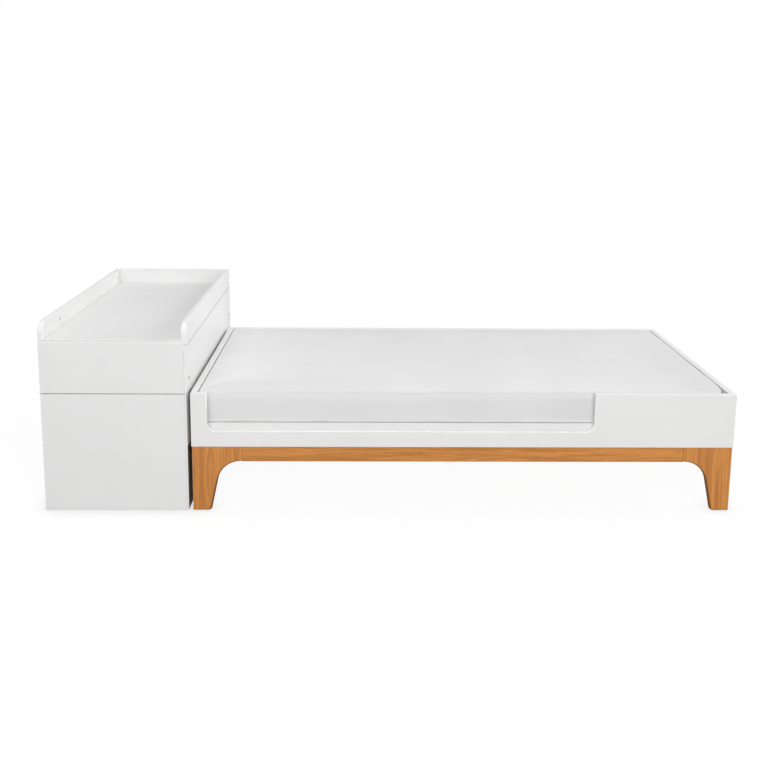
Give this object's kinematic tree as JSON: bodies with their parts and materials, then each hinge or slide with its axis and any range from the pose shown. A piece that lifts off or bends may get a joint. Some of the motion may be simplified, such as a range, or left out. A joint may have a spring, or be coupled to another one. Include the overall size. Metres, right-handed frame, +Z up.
{
  "type": "convertible crib with attached changer chest",
  "caption": "Crib converted to a low bed: white box frame with a cut-out front rail on an oak leg frame, mattress, and a chest with drawer, door and open-fronted changing tray at its left end.",
  "frame": {"origin": "middle of the crib and chest together, on the floor", "axes": "+X along the bed from the chest towards the free end, +Y from front to back, +Z up"},
  "size_m": [2.508, 1.07, 0.697],
  "materials": {
    "white_lacquer": "satin",
    "white_board": "matte",
    "oak": "satin",
    "pine": "matte",
    "zinc": "satin",
    "steel": "satin",
    "plastic": "matte",
    "cotton": "matte"
  },
  "bodies": {
    "frame": {"front_rail": "white_lacquer", "back_rail": "white_lacquer", "left_end_panel": "white_lacquer", "right_end_panel": "white_lacquer", "front_left_leg": "oak", "front_right_leg": "oak", "back_left_leg": "oak", "back_right_leg": "oak", "front_apron": "oak", "back_apron": "oak", "left_apron": "oak", "right_apron": "oak", "corner_posts": "white_lacquer", "frame_screws": "zinc", "front_ledger": "white_lacquer", "back_ledger": "white_lacquer", "slats": "pine", "centre_beam": "pine", "centre_leg": "pine", "beam_hangers": "steel", "joining_plates": "steel", "plate_screws": "zinc", "foot_glides": "plastic", "mattress": "cotton", "chest_left_side": "white_lacquer", "chest_right_side": "white_lacquer", "chest_bottom": "white_lacquer", "chest_divider": "white_lacquer", "stretchers": "white_lacquer", "chest_back": "white_board", "cam_locks": "zinc", "cam_pins": "steel", "shelf": "white_lacquer", "shelf_pins": "steel", "link_bolts": "steel", "link_spacers": "plastic", "tray_floor": "white_lacquer", "tray_left_wall": "white_lacquer", "tray_right_wall": "white_lacquer", "tray_back_wall": "white_lacquer", "tray_screws": "zinc", "runner_channels": "steel", "hinge_leaves": "steel", "hinge_screws": "zinc", "latch_housings": "plastic"},
    "drawer": {"drawer_front": "white_lacquer", "drawer_inner_front": "white_board", "drawer_left_side": "white_board", "drawer_right_side": "white_board", "drawer_back": "white_board", "drawer_bottom": "white_board", "left_runner_rail": "steel", "right_runner_rail": "steel"},
    "door": {"door": "white_lacquer", "hinge_bushes": "plastic"},
    "left_runner_middle": {"left_runner_middle": "steel"},
    "right_runner_middle": {"right_runner_middle": "steel"},
    "drawer_latch": {"drawer_latch_plunger": "plastic"},
    "door_latch": {"door_latch_plunger": "plastic"}
  },
  "joints": [
    {"name": "drawer_slide", "type": "slide", "parent": "frame", "child": "drawer", "axis": [0, -1, 0], "range_m": [0, 0.56]},
    {"name": "left_runner_slide", "type": "slide", "parent": "frame", "child": "left_runner_middle", "axis": [0, -1, 0], "range_m": [0, 0.28]},
    {"name": "right_runner_slide", "type": "slide", "parent": "frame", "child": "right_runner_middle", "axis": [0, -1, 0], "range_m": [0, 0.28]},
    {"name": "door_swing", "type": "hinge", "parent": "frame", "child": "door", "pos_m": [-1.241, -0.526, 0.22], "axis": [0, 0, -1], "range_deg": [0, 110]},
    {"name": "drawer_latch_press", "type": "slide", "parent": "frame", "child": "drawer_latch", "axis": [0, 1, 0], "range_m": [0, 0.0025], "stiffness_N_per_m": 250},
    {"name": "door_latch_press", "type": "slide", "parent": "frame", "child": "door_latch", "axis": [0, 1, 0], "range_m": [0, 0.0025], "stiffness_N_per_m": 250}
  ],
  "couplings": [
    {"joint": "left_runner_slide", "follows": "drawer_slide", "ratio": 0.5},
    {"joint": "right_runner_slide", "follows": "drawer_slide", "ratio": 0.5}
  ]
}
